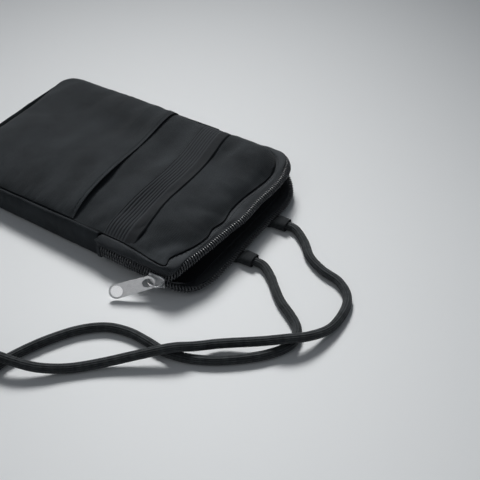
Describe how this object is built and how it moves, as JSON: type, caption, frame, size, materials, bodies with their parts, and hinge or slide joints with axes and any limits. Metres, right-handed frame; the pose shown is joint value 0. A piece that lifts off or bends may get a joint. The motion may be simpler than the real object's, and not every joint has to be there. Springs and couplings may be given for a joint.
{
  "type": "neck pouch wallet",
  "caption": "Flat zipped cloth pouch for a phone and cards, with a slip pocket, an elastic band and a round neck cord, shown with its mouth unzipped.",
  "frame": {"origin": "middle of the back panel's flat underside, which lies on the floor", "axes": "+Z out of the front panel, -Y out of the open mouth, -X toward the side where the slider stands"},
  "size_m": [0.286, 0.2656, 0.0242],
  "materials": {
    "black_polyester": "matt black woven polyester",
    "elastic_webbing": "black ribbed knitted elastic",
    "lining_cloth": "thin plain-weave lining",
    "zip_tape_weave": "black twill zip tape",
    "nylon_teeth": "black nylon coil, slightly shiny",
    "nickel_metal": "nickel-plated zinc, satin on the flat of the tab and bright on its edges",
    "cord_braid": "round black braided polyester cord",
    "ribbon_cloth": "black woven ribbon"
  },
  "bodies": {
    "pouch": {"front_panel": "black_polyester", "back_panel": "black_polyester", "side_gusset": "black_polyester", "pocket_panel": "black_polyester", "elastic_band": "elastic_webbing", "lining_front": "lining_cloth", "lining_back": "lining_cloth", "lining_gusset": "lining_cloth", "zip_tape_front": "zip_tape_weave", "zip_tape_back": "zip_tape_weave", "zip_coil_front": "nylon_teeth", "zip_coil_back": "nylon_teeth", "zip_stop_near": "nylon_teeth", "zip_stop_far": "nylon_teeth", "cord_tab_near": "ribbon_cloth", "cord_tab_far": "ribbon_cloth", "cord_strand_near": "cord_braid", "cord_strand_far": "cord_braid", "cord_coil": "cord_braid", "cord_tie": "ribbon_cloth"},
    "slider": {"slider_body": "nickel_metal", "slider_crown": "nickel_metal"},
    "pull_tab": {"zip_pull": "nickel_metal"}
  },
  "joints": [
    {"name": "zip_slide", "type": "slide", "parent": "pouch", "child": "slider", "axis": [0, 1, 0], "range_m": [0, 0.034]},
    {"name": "pull_swing", "type": "hinge", "parent": "slider", "child": "pull_tab", "pos_m": [-0.0664, -0.0746, 0.0094], "axis": [-0.1489, 0.1697, 0.9742], "range_deg": [-15, 90]}
  ]
}
